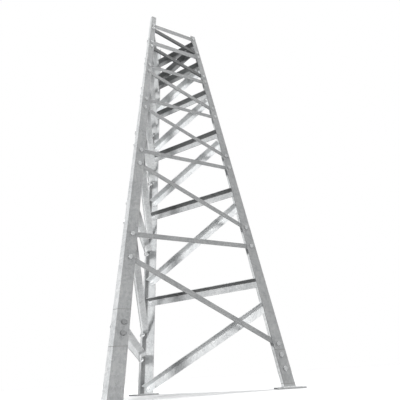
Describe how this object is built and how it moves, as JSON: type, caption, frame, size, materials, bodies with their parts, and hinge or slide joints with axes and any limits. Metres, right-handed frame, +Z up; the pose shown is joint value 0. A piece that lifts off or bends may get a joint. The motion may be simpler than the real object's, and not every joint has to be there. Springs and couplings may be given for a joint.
{
  "type": "self-supporting radio tower",
  "caption": "Tapering three-legged lattice tower of galvanised steel: folded legs with two flanges and a narrow back, ties and slanting braces on each side, on flat base plates.",
  "frame": {"origin": "on the ground, at the middle of the box round the three base plates", "axes": "+Z up; -Y is the outward side of the front face, and +X points to the right as that face is seen from outside"},
  "size_m": [1.3648, 1.1818, 3.078],
  "materials": {
    "leg_steel": "hot-dip galvanised, dull",
    "bar_steel": "hot-dip galvanised, dull",
    "plate_steel": "hot-dip galvanised, dull"
  },
  "bodies": {
    "root": {"leg_left": "leg_steel", "leg_right": "leg_steel", "leg_back": "leg_steel", "foot_left": "plate_steel", "foot_right": "plate_steel", "foot_back": "plate_steel", "tie_front_1": "bar_steel", "tie_front_2": "bar_steel", "tie_front_3": "bar_steel", "tie_front_4": "bar_steel", "tie_front_5": "bar_steel", "tie_front_6": "bar_steel", "tie_right_1": "bar_steel", "tie_right_2": "bar_steel", "tie_right_3": "bar_steel", "tie_right_4": "bar_steel", "tie_right_5": "bar_steel", "tie_right_6": "bar_steel", "tie_left_1": "bar_steel", "tie_left_2": "bar_steel", "tie_left_3": "bar_steel", "tie_left_4": "bar_steel", "tie_left_5": "bar_steel", "tie_left_6": "bar_steel", "brace_front_1": "bar_steel", "brace_front_2": "bar_steel", "brace_front_3": "bar_steel", "brace_front_4": "bar_steel", "brace_front_5": "bar_steel", "brace_front_6": "bar_steel", "brace_right_1": "bar_steel", "brace_right_2": "bar_steel", "brace_right_3": "bar_steel", "brace_right_4": "bar_steel", "brace_right_5": "bar_steel", "brace_right_6": "bar_steel", "brace_left_1": "bar_steel", "brace_left_2": "bar_steel", "brace_left_3": "bar_steel", "brace_left_4": "bar_steel", "brace_left_5": "bar_steel"}
  },
  "joints": []
}
